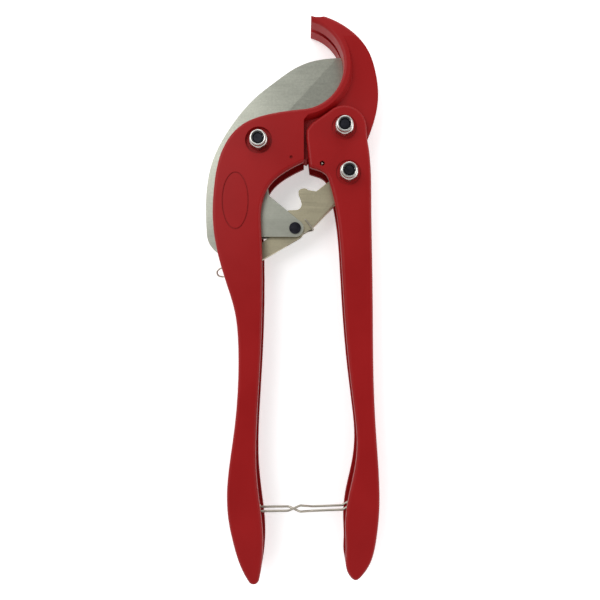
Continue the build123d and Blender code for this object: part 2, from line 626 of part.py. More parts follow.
def latch_wire():
    """One wire bent double: two eyes on the latch pin, a twist, and a bar by the catch."""
    z = LATCH_STRAND_Z
    eye = PIN_RADIUS + WIRE_RADIUS + RUNNING
    x0, y0 = LATCH_PIVOT
    lift = PIN_RADIUS + WIRE_RADIUS + 0.75
    bar = (LATCH_CATCH[0] + 1.8, LATCH_CATCH[1] + lift)
    rise = (LATCH_CATCH[0] - 7.5, LATCH_CATCH[1] + 0.2)
    top = (LATCH_CATCH[0] - 2.5, LATCH_CATCH[1] + lift)
    middle = (x0 + 33.5, y0 + 0.3)
    start = (x0 + eye, y0)
    wire = bent_wire(
        [(*start, z), (middle[0] - 9, middle[1], z), (middle[0], middle[1] + 2.4, 0),
         (middle[0] + 9, middle[1], -z), (*rise, -z), (*top, -z), (*bar, -z),
         (*bar, z), (*top, z), (*rise, z), (middle[0] + 9, middle[1], z),
         (middle[0], middle[1] - 2.4, 0), (middle[0] - 9, middle[1], -z), (*start, -z)],
        [6.0, 4.0, 6.0, 3.0, 2.0, 1.4, 1.4, 2.0, 3.0, 6.0, 4.0, 6.0], WIRE_RADIUS)
    for side in (-1, 1):
        wire += Pos(x0, y0, side * z) * Torus(eye, WIRE_RADIUS)
    return wire


# ---------------------------------------------------------------- the whole tool
FRAME_NUT_SEAT = CASTING_HALF - BLADE_SEAT_DEPTH
FORK_NUT_SEAT = CASTING_HALF - FORK_SEAT_DEPTH


def pieces():
    """Every node's name and its solid or solids."""
    return {
        "frame_casting": frame_casting(),
        "moving_handle": moving_handle(),
        "blade": blade(),
        "tang_plate_front": cheek(1),
        "tang_plate_back": cheek(-1),
        "blade_hub": blade_hub(),
        "tang_spacers": tang_spacers(),
        "link_rivet": rivet(LINK_RIVET, RIVET_HEAD_RADIUS, RIVET_HEAD_HEIGHT),
        "tang_rivets": [rivet(place, RIVET_HEAD_RADIUS, RIVET_HEAD_HEIGHT)
                        for place in TANG_RIVETS],
        "ratchet_link": ratchet_link(),
        "spring_strut": spring_strut(),
        "blade_pivot_bolt": pivot_bolt(BLADE_PIVOT, FRAME_NUT_SEAT),
        "blade_pivot_nut": lock_nut(BLADE_PIVOT, FRAME_NUT_SEAT),
        "handle_pivot_bolt": pivot_bolt(HANDLE_PIVOT, FORK_NUT_SEAT),
        "handle_pivot_nut": lock_nut(HANDLE_PIVOT, FORK_NUT_SEAT),
        "link_pin_bolt": pivot_bolt(LINK_PIN, FORK_NUT_SEAT),
        "link_pin_nut": lock_nut(LINK_PIN, FORK_NUT_SEAT),
        "link_pin_roller": ring(LINK_PIN, ROLLER_RADIUS, BOLT_RADIUS, -8.2, 8.2),
        "handle_pivot_bush": ring(HANDLE_PIVOT, BUSH_RADIUS, BOLT_RADIUS + RUNNING, -8.2, 8.2),
        "link_spring": link_spring(),
        "handle_spring": handle_spring(),
        "closing_spring": closing_spring(),
        "latch_wire": latch_wire(),
        "latch_pin": cross_pin(LATCH_PIVOT, CASTING_HALF),
        "latch_catch": cross_pin(LATCH_CATCH, CASTING_HALF),
    }


def main():
    os.makedirs("parts", exist_ok=True)
    groups = {}
    for name, made in pieces().items():
        items = made if isinstance(made, list) else [made]
        groups[name] = Compound([solid for item in items for solid in item.solids()])
    whole = Compound(list(groups.values())).bounding_box()
    middle = whole.center()
    for name, group in groups.items():
        export_step(Pos(-middle.X, -middle.Y, CASTING_HALF) * group, f"parts/{name}.step")


if __name__ == "__main__":
    main()
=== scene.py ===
"""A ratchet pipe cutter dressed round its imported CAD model: finishes for its castings, blade,
linkage and bolts, new lock nuts and wound springs, on a pale floor under soft light.

Places and sizes of the cutter are typed in millimetres and reach Blender in metres through MM.
"""
import math
import bmesh  # noqa: E402
import bpy  # noqa: E402
import numpy as np  # noqa: E402
from bpy.props import FloatProperty, FloatVectorProperty, IntProperty, PointerProperty  # noqa: E402
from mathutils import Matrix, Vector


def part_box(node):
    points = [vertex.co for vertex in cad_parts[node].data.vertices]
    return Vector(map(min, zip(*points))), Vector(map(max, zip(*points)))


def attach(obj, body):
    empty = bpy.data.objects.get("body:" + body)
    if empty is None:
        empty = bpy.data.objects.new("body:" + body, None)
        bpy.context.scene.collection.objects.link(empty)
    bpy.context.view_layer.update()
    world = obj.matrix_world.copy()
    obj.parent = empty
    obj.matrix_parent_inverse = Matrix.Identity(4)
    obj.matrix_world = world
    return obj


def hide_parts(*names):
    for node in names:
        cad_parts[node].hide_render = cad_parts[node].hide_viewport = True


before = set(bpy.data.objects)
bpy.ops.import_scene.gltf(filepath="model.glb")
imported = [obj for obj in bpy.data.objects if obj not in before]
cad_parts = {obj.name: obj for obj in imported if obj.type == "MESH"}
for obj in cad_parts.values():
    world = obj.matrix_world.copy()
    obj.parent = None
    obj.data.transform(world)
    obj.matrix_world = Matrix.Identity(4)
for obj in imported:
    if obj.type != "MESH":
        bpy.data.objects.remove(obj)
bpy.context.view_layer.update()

bl_info = {
    "name": "Ratchet pipe cutter",
    "version": (1, 0, 0),
    "blender": (4, 5, 0),
    "location": "3D View > Sidebar > Pipe Cutter",
    "description": "Builds the finished look of a ratchet pipe cutter round its CAD model",
    "category": "Object",
}

MM = 0.001

# places in the cutter's own plane, in millimetres from the middle of the drawing
HANDLE_PIVOT = (29.0, 128.0)
LINK_RIVET = (-7.5, 54.2)
SPRING_HOLE = (12.8, 101.3)

# lock nut, in millimetres: (height above the seat, radius of the cone that bevels its corners)
NUT_HEIGHT = 8.5
NUT_BORE = 4.0
NUT_PROFILE = [
    (0.0, NUT_BORE), (0.0, 6.3), (0.25, 6.9), (0.7, 7.6), (1.2, 9.0), (2.4, 9.0), (3.0, 7.5),
    (4.2, 7.1), (5.1, 6.7), (5.6, 6.4), (5.8, 6.2), (5.9, 6.0), (7.6, 6.0), (8.0, 5.93),
    (8.3, 5.75), (8.45, 5.5), (8.5, 5.25), (8.48, 4.95), (8.38, 4.75), (8.2, 4.66), (7.6, 4.6),
    (7.4, NUT_BORE)]
NUT_COLUMNS = 144
NUT_CREASE = 25.0
# its nylon collar: (radius, height above the nut's top), a closed ring
COLLAR_PROFILE = [
    (4.02, -2.6), (4.59, -2.6), (4.59, -0.55), (4.45, -0.4), (4.1, -0.42), (4.02, -0.5),
    (4.02, -2.6)]

# springs, in millimetres; a leg's or a loop's corners are (x, y, height above the mid-plane),
# and a coil's pitch is in radii of its wire
LINK_SPRING_WIRE = 0.6
LINK_SPRING_COIL = 4.2
LINK_SPRING_TURNS = 2.1
LINK_SPRING_PITCH = 2.05
LINK_SPRING_LEAVES = -50.0  # degrees from the tool's right
LINK_SPRING_LEG = [(2.0, 52.6, 0.0), (6.2, 53.5, 0.0), (6.2, 53.5, 2.6), (6.2, 53.5, 5.25),
                   (3.2, 57.3, 5.25), (0.2, 61.0, 5.25)]
HANDLE_SPRING_WIRE = 0.8
HANDLE_SPRING_COIL = 8.9
HANDLE_SPRING_TURNS = 1.9
HANDLE_SPRING_PITCH = 1.9
HANDLE_SPRING_HEIGHT = 6.1
HANDLE_SPRING_RISE = 3.2
HANDLE_SPRING_LEG = [(24.0, 119.8, 9.3), (18.4, 110.5, 9.3), (*SPRING_HOLE, 9.3),
                     (*SPRING_HOLE, 10.8), (*SPRING_HOLE, 12.2)]
CLOSING_SPRING_WIRE = 0.62
CLOSING_SPRING_COIL = 1.75
CLOSING_SPRING_PITCH = 2.1
CLOSING_SPRING_ENDS = ((-56.5, 25.5), (-51.5, 28.4))
CLOSING_SPRING_LOOP = [(-60.0, 17.9), (-66.2, 17.8), (-68.1, 21.4), (-65.4, 24.4), (-60.0, 25.2)]
CLOSING_SPRING_HOOK = [(-49.2, 27.6), (-47.2, 28.7)]

# stage, in metres
FLOOR_HALF = 3.0
FLOOR_GLOW = 0.42
SENSOR_WIDTH = 36.0  # millimetres
NEAREST_SEEN = 0.01
# the tent's light falls from its full to its overhead strength between these heights of a
# direction, 0 at the horizon and 1 straight up
TENT_FALL = (0.45, 0.98)


# ---------------------------------------------------------------- colours and places
def linear(hex_colour):
    """sRGB hex to linear RGB: c/12.92 near black, else ((c + 0.055)/1.055) to the power 2.4."""
    digits = hex_colour.lstrip("#")
    channels = [int(digits[i:i + 2], 16) / 255 for i in (0, 2, 4)]
    return tuple(c / 12.92 if c <= 0.04045 else ((c + 0.055) / 1.055) ** 2.4 for c in channels)


def middle(node):
    """Middle of a CAD node's box, in metres."""
    low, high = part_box(node)
    return np.array((low + high) / 2)


def drawn(x, y, z=0.0):
    """A place of the drawing, in millimetres about the mid-plane, as metres in the row frame."""
    pivot = middle("handle_pivot_bush")
    return pivot + np.array((x - HANDLE_PIVOT[0], y - HANDLE_PIVOT[1], z)) * MM


# ---------------------------------------------------------------- properties
class CutterFinishes(bpy.types.PropertyGroup):
    """Colours of the coat and the metals."""
    coat: FloatVectorProperty(
        name="Powder coat", description="Colour of both castings",
        subtype="COLOR", size=3, min=0, max=1, default=linear("#8f0d0f"))
    blade: FloatVectorProperty(
        name="Blade steel", description="Ground stainless steel of the blade",
        subtype="COLOR", size=3, min=0, max=1, default=linear("#b9bbae"))
    plate: FloatVectorProperty(
        name="Nickel plate", description="Plated pressings of the link and the strut",
        subtype="COLOR", size=3, min=0, max=1, default=linear("#c4bca0"))
    zinc: FloatVectorProperty(
        name="Bright zinc", description="Plating of the lock nuts",
        subtype="COLOR", size=3, min=0, max=1, default=linear("#cfcfca"))
    oxide: FloatVectorProperty(
        name="Black oxide", description="Blackened bolts and rivets",
        subtype="COLOR", size=3, min=0, max=1, default=linear("#24242a"))
    nylon: FloatVectorProperty(
        name="Nylon", description="Collars of the lock nuts",
        subtype="COLOR", size=3, min=0, max=1, default=linear("#1c1c20"))
    wire: FloatVectorProperty(
        name="Spring wire", description="Drawn wire of the springs and the latch",
        subtype="COLOR", size=3, min=0, max=1, default=linear("#a8a296"))


class CutterSizes(bpy.types.PropertyGroup):
    """Sizes that the finished pieces add to the CAD model."""
    nut_flats: FloatProperty(
        name="Nut width", description="Distance across the flats of the lock nuts",
        unit="LENGTH", min=8 * MM, max=16 * MM, default=13 * MM)
    wire_sides: IntProperty(
        name="Wire sides", description="Facets round a spring wire", min=6, max=32, default=14)


class StageSettings(bpy.types.PropertyGroup):
    """Camera and light."""
    camera_height: FloatProperty(
        name="Camera height", description="Height of the lens above the floor",
        unit="LENGTH", min=0.1, max=3.0, default=0.371)
    focal: FloatProperty(
        name="Focal length", description="Focal length on a 36 mm wide frame, in millimetres",
        min=10, max=200, default=27.96)
    shift: FloatProperty(
        name="Sideways shift", description="Shift of the lens, as a share of the frame's width",
        min=-1, max=1, default=-0.00833)
    key_power: FloatProperty(
        name="Key light", description="Power of the large overhead light, in watts",
        min=0, max=200, default=9.0)
    fill_power: FloatProperty(
        name="Side light", description="Power of each side light, in watts",
        min=0, max=200, default=3.0)
    sky: FloatProperty(
        name="Tent", description="Strength of the even light from the sides",
        min=0, max=5, default=1.1)
    zenith: FloatProperty(
        name="Overhead", description="Strength of the even light from straight above",
        min=0, max=5, default=0.30)
    floor_colour: FloatVectorProperty(
        name="Floor", description="Colour of the floor",
        subtype="COLOR", size=3, min=0, max=1, default=linear("#f6f6f6"))


# ---------------------------------------------------------------- shader helper
# a colour mix has sockets of one name for each kind of value, so its own are picked by number
FACTOR, FIRST, SECOND, MIXED = 0, 6, 7, 2


def add_node(tree, kind, settings=None, inputs=None):
    """Adds a node, sets its properties, and sets or links its inputs."""
    node = tree.nodes.new(kind)
    for name, value in (settings or {}).items():
        setattr(node, name, value)
    for name, value in (inputs or {}).items():
        if isinstance(value, bpy.types.NodeSocket):
            tree.links.new(value, node.inputs[name])
        else:
            node.inputs[name].default_value = value
    return node


def new_material(name):
    """An empty material with its output and Principled shader joined."""
    material = bpy.data.materials.get(name)
    if material:
        return material, None, None
    material = bpy.data.materials.new(name)
    material.use_nodes = True
    tree = material.node_tree
    tree.nodes.clear()
    shader = add_node(tree, "ShaderNodeBsdfPrincipled")
    add_node(tree, "ShaderNodeOutputMaterial", inputs={"Surface": shader.outputs["BSDF"]})
    return material, tree, shader


def shaded(colour, amount):
    """A colour made darker or lighter by a factor."""
    return tuple(min(1.0, channel * amount) for channel in colour)


# ---------------------------------------------------------------- materials
def powder_coat():
    """Satin polyester powder coat, sprayed and baked on a metal casting: a deep colour with a
    soft, slightly pebbled gloss."""
    material, tree, shader = new_material("red_satin_powder_coat")
    if tree is None:
        return material
    colour = tuple(bpy.context.scene.cutter_finishes.coat)
    place = add_node(tree, "ShaderNodeTexCoord").outputs["Object"]
    # flow of the melted powder, about 40 mm across
    cloud = add_node(tree, "ShaderNodeTexNoise", inputs={
        "Vector": place, "Scale": 1 / (40 * MM), "Detail": 3.0})
    tone = add_node(tree, "ShaderNodeMix", {"data_type": "RGBA"}, {
        FACTOR: cloud.outputs["Fac"],
        FIRST: (*shaded(colour, 0.82), 1), SECOND: (*shaded(colour, 1.12), 1)}).outputs[MIXED]
    # orange peel of 1.1 mm
    peel = add_node(tree, "ShaderNodeTexNoise", inputs={
        "Vector": place, "Scale": 1 / (1.1 * MM), "Detail": 1.5})
    gloss = add_node(tree, "ShaderNodeMapRange", inputs={
        "Value": cloud.outputs["Fac"], "From Min": 0.3, "From Max": 0.7,
        "To Min": 0.36, "To Max": 0.46})
    bump = add_node(tree, "ShaderNodeBump", inputs={
        "Height": peel.outputs["Fac"], "Strength": 0.35, "Distance": 0.03 * MM})
    tree.links.new(tone, shader.inputs["Base Color"])
    tree.links.new(gloss.outputs["Result"], shader.inputs["Roughness"])
    tree.links.new(bump.outputs["Normal"], shader.inputs["Normal"])
    shader.inputs["IOR"].default_value = 1.5
    shader.inputs["Specular IOR Level"].default_value = 0.2
    return material


def brushed_metal(name, colour, roughness, line_mm, angle, bump_mm, cloud_mm=18.0, mottle=0.0):
    """Metal with straight fine lines in the plane, turned by an angle in degrees, over soft
    clouds; mottle is how much small stains darken it."""
    material, tree, shader = new_material(name)
    if tree is None:
        return material
    place = add_node(tree, "ShaderNodeTexCoord").outputs["Object"]
    # lines 30 mm long and line_mm apart
    along = add_node(tree, "ShaderNodeMapping", inputs={
        "Vector": place, "Rotation": (0, 0, -math.radians(angle)),
        "Scale": (1 / (30 * MM), 1 / (line_mm * MM), 1 / (line_mm * MM))})
    lines = add_node(tree, "ShaderNodeTexNoise", inputs={
        "Vector": along.outputs["Vector"], "Scale": 1.0, "Detail": 3.0, "Roughness": 0.6})
    cloud = add_node(tree, "ShaderNodeTexNoise", inputs={
        "Vector": place, "Scale": 1 / (cloud_mm * MM), "Detail": 4.0})
    both = add_node(tree, "ShaderNodeMath", {"operation": "MULTIPLY_ADD"}, {
        0: lines.outputs["Fac"], 1: 0.6})
    tree.links.new(cloud.outputs["Fac"], both.inputs[2])
    factor = add_node(tree, "ShaderNodeMapRange", inputs={
        "Value": both.outputs[0], "From Min": 0.45, "From Max": 1.15, "To Min": 0.0, "To Max": 1.0})
    tone = add_node(tree, "ShaderNodeMix", {"data_type": "RGBA"}, {
        FACTOR: factor.outputs["Result"],
        FIRST: (*shaded(colour, 0.84), 1), SECOND: (*shaded(colour, 1.08), 1)}).outputs[MIXED]
    gloss = add_node(tree, "ShaderNodeMapRange", inputs={
        "Value": lines.outputs["Fac"], "From Min": 0.3, "From Max": 0.7,
        "To Min": roughness - 0.05, "To Max": roughness + 0.07})
    bump = add_node(tree, "ShaderNodeBump", inputs={
        "Height": lines.outputs["Fac"], "Strength": 0.4, "Distance": bump_mm * MM})
    if mottle:
        # small stains and handling marks, 1.6 mm across
        stain = add_node(tree, "ShaderNodeTexNoise", inputs={
            "Vector": place, "Scale": 1 / (1.6 * MM), "Detail": 5.0, "Roughness": 0.7})
        fade = add_node(tree, "ShaderNodeMapRange", inputs={
            "Value": stain.outputs["Fac"], "From Min": 0.35, "From Max": 0.65,
            "To Min": 1.0 - mottle, "To Max": 1.0})
        tone = add_node(tree, "ShaderNodeMix", {"data_type": "RGBA", "blend_type": "MULTIPLY"}, {
            FACTOR: 1.0, FIRST: tone, SECOND: fade.outputs["Result"]}).outputs[MIXED]
    tree.links.new(tone, shader.inputs["Base Color"])
    tree.links.new(gloss.outputs["Result"], shader.inputs["Roughness"])
    tree.links.new(bump.outputs["Normal"], shader.inputs["Normal"])
    shader.inputs["Metallic"].default_value = 1.0
    return material


def ground_blade_steel():
    """Martensitic stainless steel, surface-ground: fine straight lines and a silky reflection."""
    colour = tuple(bpy.context.scene.cutter_finishes.blade)
    return brushed_metal("ground_stainless_steel", colour, 0.33, 0.35, 137.3, 0.012, mottle=0.16)


def tang_steel():
    """Blanked and tumbled steel plate: grey, with faint rolling lines."""
    colour = shaded(tuple(bpy.context.scene.cutter_finishes.blade), 0.92)
    return brushed_metal("tumbled_steel_plate", colour, 0.38, 0.5, 100.0, 0.012, mottle=0.08)


def nickel_plate():
    """Dull nickel over pressed steel: warm and even, with the sheet's rolling lines under it."""
    colour = tuple(bpy.context.scene.cutter_finishes.plate)
    return brushed_metal("dull_nickel_plate", colour, 0.36, 0.6, 45.7, 0.010, mottle=0.10)


def bright_zinc():
    """Bright zinc plate over forged steel: pale and glossy, dulled a little by handling."""
    colour = tuple(bpy.context.scene.cutter_finishes.zinc)
    return brushed_metal("bright_zinc_plate", colour, 0.24, 0.8, 0.0, 0.006, 6.0)


def spring_steel():
    """Drawn and oil-tempered spring wire: grey with a soft gloss and fine die lines."""
    colour = tuple(bpy.context.scene.cutter_finishes.wire)
    return brushed_metal("drawn_spring_wire", colour, 0.33, 0.3, 0.0, 0.006, 8.0)


def black_oxide():
    """Black oxide on turned steel: nearly black, oily, with a faint mottle of 3 mm."""
    material, tree, shader = new_material("black_oxide_steel")
    if tree is None:
        return material
    colour = tuple(bpy.context.scene.cutter_finishes.oxide)
    place = add_node(tree, "ShaderNodeTexCoord").outputs["Object"]
    mottle = add_node(tree, "ShaderNodeTexNoise", inputs={
        "Vector": place, "Scale": 1 / (3 * MM), "Detail": 4.0})
    tone = add_node(tree, "ShaderNodeMix", {"data_type": "RGBA"}, {
        FACTOR: mottle.outputs["Fac"],
        FIRST: (*shaded(colour, 0.6), 1), SECOND: (*shaded(colour, 1.7), 1)}).outputs[MIXED]
    gloss = add_node(tree, "ShaderNodeMapRange", inputs={
        "Value": mottle.outputs["Fac"], "From Min": 0.3, "From Max": 0.7,
        "To Min": 0.32, "To Max": 0.48})
    bump = add_node(tree, "ShaderNodeBump", inputs={
        "Height": mottle.outputs["Fac"], "Strength": 0.3, "Distance": 0.02 * MM})
    tree.links.new(tone, shader.inputs["Base Color"])
    tree.links.new(gloss.outputs["Result"], shader.inputs["Roughness"])
    tree.links.new(bump.outputs["Normal"], shader.inputs["Normal"])
    shader.inputs["Metallic"].default_value = 0.85
    return material


def black_nylon():
    """Black nylon 6 collar of a lock nut, moulded: dark, slightly waxy, with a fine grain."""
    material, tree, shader = new_material("black_nylon_collar")
    if tree is None:
        return material
    colour = tuple(bpy.context.scene.cutter_finishes.nylon)
    place = add_node(tree, "ShaderNodeTexCoord").outputs["Object"]
    # moulding grain of 0.4 mm
    grain = add_node(tree, "ShaderNodeTexNoise", inputs={
        "Vector": place, "Scale": 1 / (0.4 * MM), "Detail": 2.0})
    bump = add_node(tree, "ShaderNodeBump", inputs={
        "Height": grain.outputs["Fac"], "Strength": 0.3, "Distance": 0.02 * MM})
    tone = add_node(tree, "ShaderNodeMix", {"data_type": "RGBA"}, {
        FACTOR: grain.outputs["Fac"],
        FIRST: (*shaded(colour, 0.7), 1), SECOND: (*shaded(colour, 1.4), 1)}).outputs[MIXED]
    tree.links.new(tone, shader.inputs["Base Color"])
    tree.links.new(bump.outputs["Normal"], shader.inputs["Normal"])
    shader.inputs["Roughness"].default_value = 0.45
    shader.inputs["IOR"].default_value = 1.53
    return material


def floor_paint():
    """Matt white laminate with a barely visible tone, lit a little from within so that it stays
    white under the tent."""
    material, tree, shader = new_material("matt_white_laminate")
    if tree is None:
        return material
    colour = tuple(bpy.context.scene.cutter_stage.floor_colour)
    place = add_node(tree, "ShaderNodeTexCoord").outputs["Object"]
    # clouds 250 mm across
    cloud = add_node(tree, "ShaderNodeTexNoise", inputs={
        "Vector": place, "Scale": 1 / (250 * MM), "Detail": 2.0})
    tone = add_node(tree, "ShaderNodeMix", {"data_type": "RGBA"}, {
        FACTOR: cloud.outputs["Fac"],
        FIRST: (*shaded(colour, 0.99), 1), SECOND: (*colour, 1)}).outputs[MIXED]
    tree.links.new(tone, shader.inputs["Base Color"])
    shader.inputs["Roughness"].default_value = 0.7
    shader.inputs["Emission Color"].default_value = (1, 1, 1, 1)
    shader.inputs["Emission Strength"].default_value = FLOOR_GLOW
    return material


# ---------------------------------------------------------------- meshes
def grid_faces(rows, columns, wrap_rows, wrap_columns):
    """Corner numbers of the four-sided faces between the points of a grid."""
    i = np.arange(rows if wrap_rows else rows - 1)
    j = np.arange(columns if wrap_columns else columns - 1)
    i, j = np.meshgrid(i, j, indexing="ij")
    i2, j2 = (i + 1) % rows, (j + 1) % columns
    return np.stack([i * columns + j, i2 * columns + j, i2 * columns + j2, i * columns + j2],
                    axis=-1).reshape(-1, 4)


def new_piece(name, surface, material, body, sharp=35.0):
    """One object from a surface (points, wrap_rows, wrap_columns), closed and facing outwards.

    It is shaded smooth except at edges sharper than the angle sharp, and rides on its body.
    """
    grid, wrap_rows, wrap_columns = surface
    mesh = bpy.data.meshes.new(name)
    mesh.from_pydata(grid.reshape(-1, 3), [],
                     grid_faces(*grid.shape[:2], wrap_rows, wrap_columns))
    work = bmesh.new()
    work.from_mesh(mesh)
    bmesh.ops.remove_doubles(work, verts=work.verts, dist=1e-6)
    bmesh.ops.dissolve_degenerate(work, edges=work.edges, dist=1e-7)
    bmesh.ops.recalc_face_normals(work, faces=work.faces)
    work.to_mesh(mesh)
    work.free()
    mesh.materials.append(material)
    mesh.polygons.foreach_set("use_smooth", np.ones(len(mesh.polygons), bool))
    mesh.set_sharp_from_angle(angle=math.radians(sharp))
    piece = bpy.data.objects.new(name, mesh)
    bpy.context.scene.collection.objects.link(piece)
    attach(piece, body)
    return piece


def tube(path, radius, sides):
    """Round wire: each station's circle is path + r (cos a · side + sin a · up), where side and
    up are carried from station to station so that the wire doesn't twist. Its ends are domed."""
    tangent = np.gradient(path, axis=0)
    tangent /= np.linalg.norm(tangent, axis=1)[:, None]
    # the first side is square to the wire and to a direction that no wire here starts along
    side = np.cross(tangent[0], (0.3, 0.4, 0.87))
    sides_at = [side / np.linalg.norm(side)]
    for direction in tangent[1:]:
        side = sides_at[-1] - direction * (sides_at[-1] @ direction)
        sides_at.append(side / np.linalg.norm(side))
    side = np.array(sides_at)
    up = np.cross(tangent, side)
    # domed ends: a quarter circle of stations before the first and after the last
    dome = np.radians([90, 60, 30])
    count = len(path)
    offsets = np.concatenate([-np.sin(dome), np.zeros(count), np.sin(dome[::-1])])
    scale = np.concatenate([np.cos(dome), np.ones(count), np.cos(dome[::-1])])
    index = np.concatenate([np.zeros(len(dome), int), np.arange(count),
                            np.full(len(dome), count - 1)])
    centre = path[index] + tangent[index] * (offsets * radius)[:, None]
    angle = np.linspace(0, 2 * np.pi, sides, endpoint=False)
    around = (np.cos(angle)[None, :, None] * side[index][:, None]
              + np.sin(angle)[None, :, None] * up[index][:, None])
    return centre[:, None] + around * (radius * scale)[:, None, None], False, True


def lathe(centre, profile, segments=64):
    """Turned shape: the points (r cos a, r sin a, z) of a profile of (r, z) in millimetres."""
    profile = np.array(profile) * MM
    angle = np.linspace(0, 2 * np.pi, segments, endpoint=False)
    grid = np.stack([profile[:, :1] * np.cos(angle), profile[:, :1] * np.sin(angle),
                     np.repeat(profile[:, 1:], segments, axis=1)], axis=-1)
    return grid + centre, False, True


def lock_nut(seat, flats, top):
    """Hexagon nut with a round crown: at each height the radius is the smaller of the hexagon's,
    flats/2 / cos(angle from the flat's middle), and a cone's that bevels its corners."""
    height, cone = (np.array(column)[:, None] for column in zip(*NUT_PROFILE))
    angle = np.linspace(0, 2 * np.pi, NUT_COLUMNS, endpoint=False)[None]
    off_flat = (angle + np.pi / 6) % (np.pi / 3) - np.pi / 6
    radius = np.minimum(flats / 2 / np.cos(off_flat), cone * MM)
    level = seat[2] + height * MM * (top - seat[2]) / (NUT_HEIGHT * MM)
    grid = np.stack([seat[0] + radius * np.cos(angle), seat[1] + radius * np.sin(angle),
                     level + 0 * angle], axis=-1)
    return grid, True, True


def smooth_path(points, rounds=4):
    """Corner cutting: each run gives the points a quarter and three quarters along it."""
    path = np.asarray(points, float)
    for _ in range(rounds):
        near = 0.75 * path[:-1] + 0.25 * path[1:]
        far = 0.25 * path[:-1] + 0.75 * path[1:]
        inner = np.stack([near, far], axis=1).reshape(-1, 3)
        path = np.concatenate([path[:1], inner[1:-1], path[-1:]])
    return path


def helix(centre, axis, radius, turns, pitch, end_direction, steps=28):
    """Coil: centre + axis · pitch · t + radius (cos 2πt · u + sin 2πt · v), with t from minus the
    turns to 0, ending in the direction end_direction from its axis."""
    axis = np.array(axis, float) / np.linalg.norm(axis)
    u = np.array(end_direction, float)
    u -= axis * (u @ axis)
    u /= np.linalg.norm(u)
    v = np.cross(axis, u)
    t = np.linspace(-turns, 0, int(turns * steps) + 1)[:, None]
    turn = 2 * np.pi * t
    return centre + axis * pitch * t + radius * (np.cos(turn) * u + np.sin(turn) * v)


def dress(material, *nodes):
    """Gives carried-over CAD nodes a finish."""
    for node in nodes:
        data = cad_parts[node].data
        data.materials.clear()
        data.materials.append(material)


# ---------------------------------------------------------------- pieces
class CUTTER_OT_castings(bpy.types.Operator):
    """Fixed frame with hook and grip, and the moving handle"""
    bl_idname = "cutter.castings"
    bl_label = "Castings"

    def execute(self, context):
        dress(powder_coat(), "frame_casting", "moving_handle")
        return {"FINISHED"}


class CUTTER_OT_blade(bpy.types.Operator):
    """Blade, tang plates, hub, spacers and rivets"""
    bl_idname = "cutter.blade"
    bl_label = "Blade and tang"

    def execute(self, context):
        dress(ground_blade_steel(), "blade")
        dress(tang_steel(), "tang_plate_front", "tang_plate_back", "tang_spacers")
        dress(nickel_plate(), "blade_hub")
        dress(black_oxide(), "link_rivet", "tang_rivets")
        return {"FINISHED"}


class CUTTER_OT_linkage(bpy.types.Operator):
    """Notched link and spring strut"""
    bl_idname = "cutter.linkage"
    bl_label = "Link and strut"

    def execute(self, context):
        dress(nickel_plate(), "ratchet_link", "spring_strut")
        return {"FINISHED"}


class CUTTER_OT_fasteners(bpy.types.Operator):
    """Pivot bolts, lock nuts, bush, roller and latch pins"""
    bl_idname = "cutter.fasteners"
    bl_label = "Fasteners"

    def execute(self, context):
        dress(black_oxide(), "blade_pivot_bolt", "handle_pivot_bolt", "link_pin_bolt")
        flats = context.scene.cutter_sizes.nut_flats
        for node, body in (("blade_pivot_nut", "frame"), ("handle_pivot_nut", "handle"),
                           ("link_pin_nut", "handle")):
            low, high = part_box(node)
            seat = middle(node)
            seat[2] = low.z
            piece = new_piece(node.replace("nut", "lock_nut"), lock_nut(seat, flats, high.z),
                              bright_zinc(), body, sharp=NUT_CREASE)
            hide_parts(node)
            seat[2] = high.z
            new_piece(node.replace("nut", "nut_collar"), lathe(seat, COLLAR_PROFILE),
                      black_nylon(), body)
        dress(nickel_plate(), "handle_pivot_bush", "link_pin_roller")
        # the latch pins are taken as pressed in before coating, so that their ends are coated too
        dress(powder_coat(), "latch_pin", "latch_catch")
        return {"FINISHED"}


